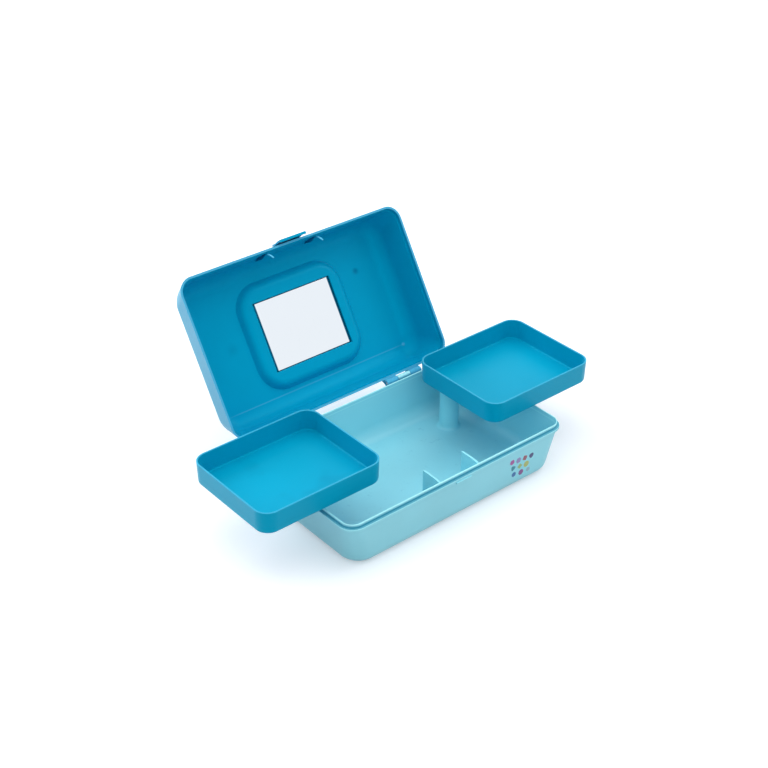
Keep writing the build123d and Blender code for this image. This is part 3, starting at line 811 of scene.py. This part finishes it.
def pale_floor():
    """White table that keeps the case's shadow, and runs into the backdrop away from the case."""
    made, g = material("floor_white")
    seen = seen_rays(g)
    lit = g.node("BsdfDiffuse", {"Color": g.mix(seen, (0.55, 0.57, 0.6, 1), (0.82, 0.83, 0.85, 1))})
    glow = g.node("Emission", {"Color": (0.96, 0.97, 1.0, 1), "Strength": seen * 0.3})
    x, y, _ = g.axes(g.place())
    far = ((x * x + y * y) ** 0.5).smooth(0.5, 2.2)
    g.end(g.node("MixShader", {0: far * seen, 1: g.node("AddShader", {0: lit, 1: glow}),
                               2: g.node("Emission", {"Color": BACKDROP, "Strength": 1.0})}))
    return made


def surroundings(overhead, low):
    """Pale room, white to the camera and in reflections.

    The light that it throws on the case eases from low, at the table's height, to overhead.
    """
    world = bpy.data.worlds.new("studio")
    bpy.context.scene.world = world
    world.use_nodes = True
    g = Graph(world.node_tree)
    height = g.axes(g.node("TexCoord", output="Generated"))[2]
    glow = height.smooth(0.0, 1.0, low, overhead)
    bright = seen_rays(g)
    sky = g.node("Background", {"Color": BACKDROP, "Strength": glow + bright * (1.0 - glow)})
    g.node("OutputWorld", {"Surface": sky})


class MAKEUPCASE_OT_stage(bpy.types.Operator):
    """Build the table, the light and the camera"""
    bl_idname = "makeupcase.stage"
    bl_label = "Stage"

    def execute(self, context):
        stage = context.scene.case_stage
        mesh = bpy.data.meshes.new("floor")
        corners = [(-1, -1), (1, -1), (1, 1), (-1, 1)]
        mesh.from_pydata([(x * FLOOR_HALF, y * FLOOR_HALF, 0) for x, y in corners], [], [(0, 1, 2, 3)])
        mesh.materials.append(pale_floor())
        floor = bpy.data.objects.new("floor", mesh)
        context.scene.collection.objects.link(floor)
        surroundings(stage.sky, stage.horizon)

        panel_light("top_panel", (0.1, 0.1, 1.6), (0, 0, 0), 1.6, 1.2, stage.top)
        panel_light("left_panel", (-1.4, 0.9, 1.1), (0, 0, 0.1), 1.2, 1.0, stage.left)
        panel_light("right_panel", (1.5, -0.65, 1.5), (0, 0, 0.1), 0.8, 0.6, stage.right)
        panel_light("back_panel", (-0.5, 1.7, 1.2), (0, 0, 0.1), 1.4, 0.8, stage.back)
        panel_light("front_panel", (-0.3, -1.8, 1.0), (0, 0, 0.1), 1.2, 0.8, stage.front)

        data = bpy.data.cameras.new("camera")
        data.lens = stage.lens
        data.sensor_width = 36.0
        camera = bpy.data.objects.new("camera", data)
        camera.matrix_world = aimed(camera_place(stage, TARGET), TARGET, stage.roll)
        context.scene.collection.objects.link(camera)
        context.scene.camera = camera
        context.scene.view_settings.view_transform = "Standard"
        return {"FINISHED"}


class MAKEUPCASE_PT_panel(bpy.types.Panel):
    """Lists the pieces of the case"""
    bl_idname = "MAKEUPCASE_PT_panel"
    bl_label = "Makeup Case"
    bl_space_type = "VIEW_3D"
    bl_region_type = "UI"
    bl_category = "Makeup Case"

    def draw(self, context):
        for operator in OPERATORS:
            self.layout.operator(operator.bl_idname)
        scene = context.scene
        for group in (scene.case_colours, scene.case_sizes, scene.case_stage):
            for name in group.__annotations__:
                self.layout.prop(group, name)


GROUPS = (CaseColours, CaseSizes, CaseStage)
OPERATORS = (MAKEUPCASE_OT_stage, MAKEUPCASE_OT_base, MAKEUPCASE_OT_print, MAKEUPCASE_OT_lid,
             MAKEUPCASE_OT_trays, MAKEUPCASE_OT_mirror, MAKEUPCASE_OT_fittings)
CLASSES = GROUPS + OPERATORS + (MAKEUPCASE_PT_panel,)


def register():
    for cls in CLASSES:
        bpy.utils.register_class(cls)
    bpy.types.Scene.case_colours = PointerProperty(type=CaseColours)
    bpy.types.Scene.case_sizes = PointerProperty(type=CaseSizes)
    bpy.types.Scene.case_stage = PointerProperty(type=CaseStage)


def unregister():
    del bpy.types.Scene.case_stage
    del bpy.types.Scene.case_sizes
    del bpy.types.Scene.case_colours
    for cls in reversed(CLASSES):
        bpy.utils.unregister_class(cls)


def main():
    register()
    bpy.ops.makeupcase.stage()
    bpy.ops.makeupcase.base()
    bpy.ops.makeupcase.print()
    bpy.ops.makeupcase.lid()
    bpy.ops.makeupcase.trays()
    bpy.ops.makeupcase.mirror()
    bpy.ops.makeupcase.fittings()


if __name__ == "__main__":
    main()
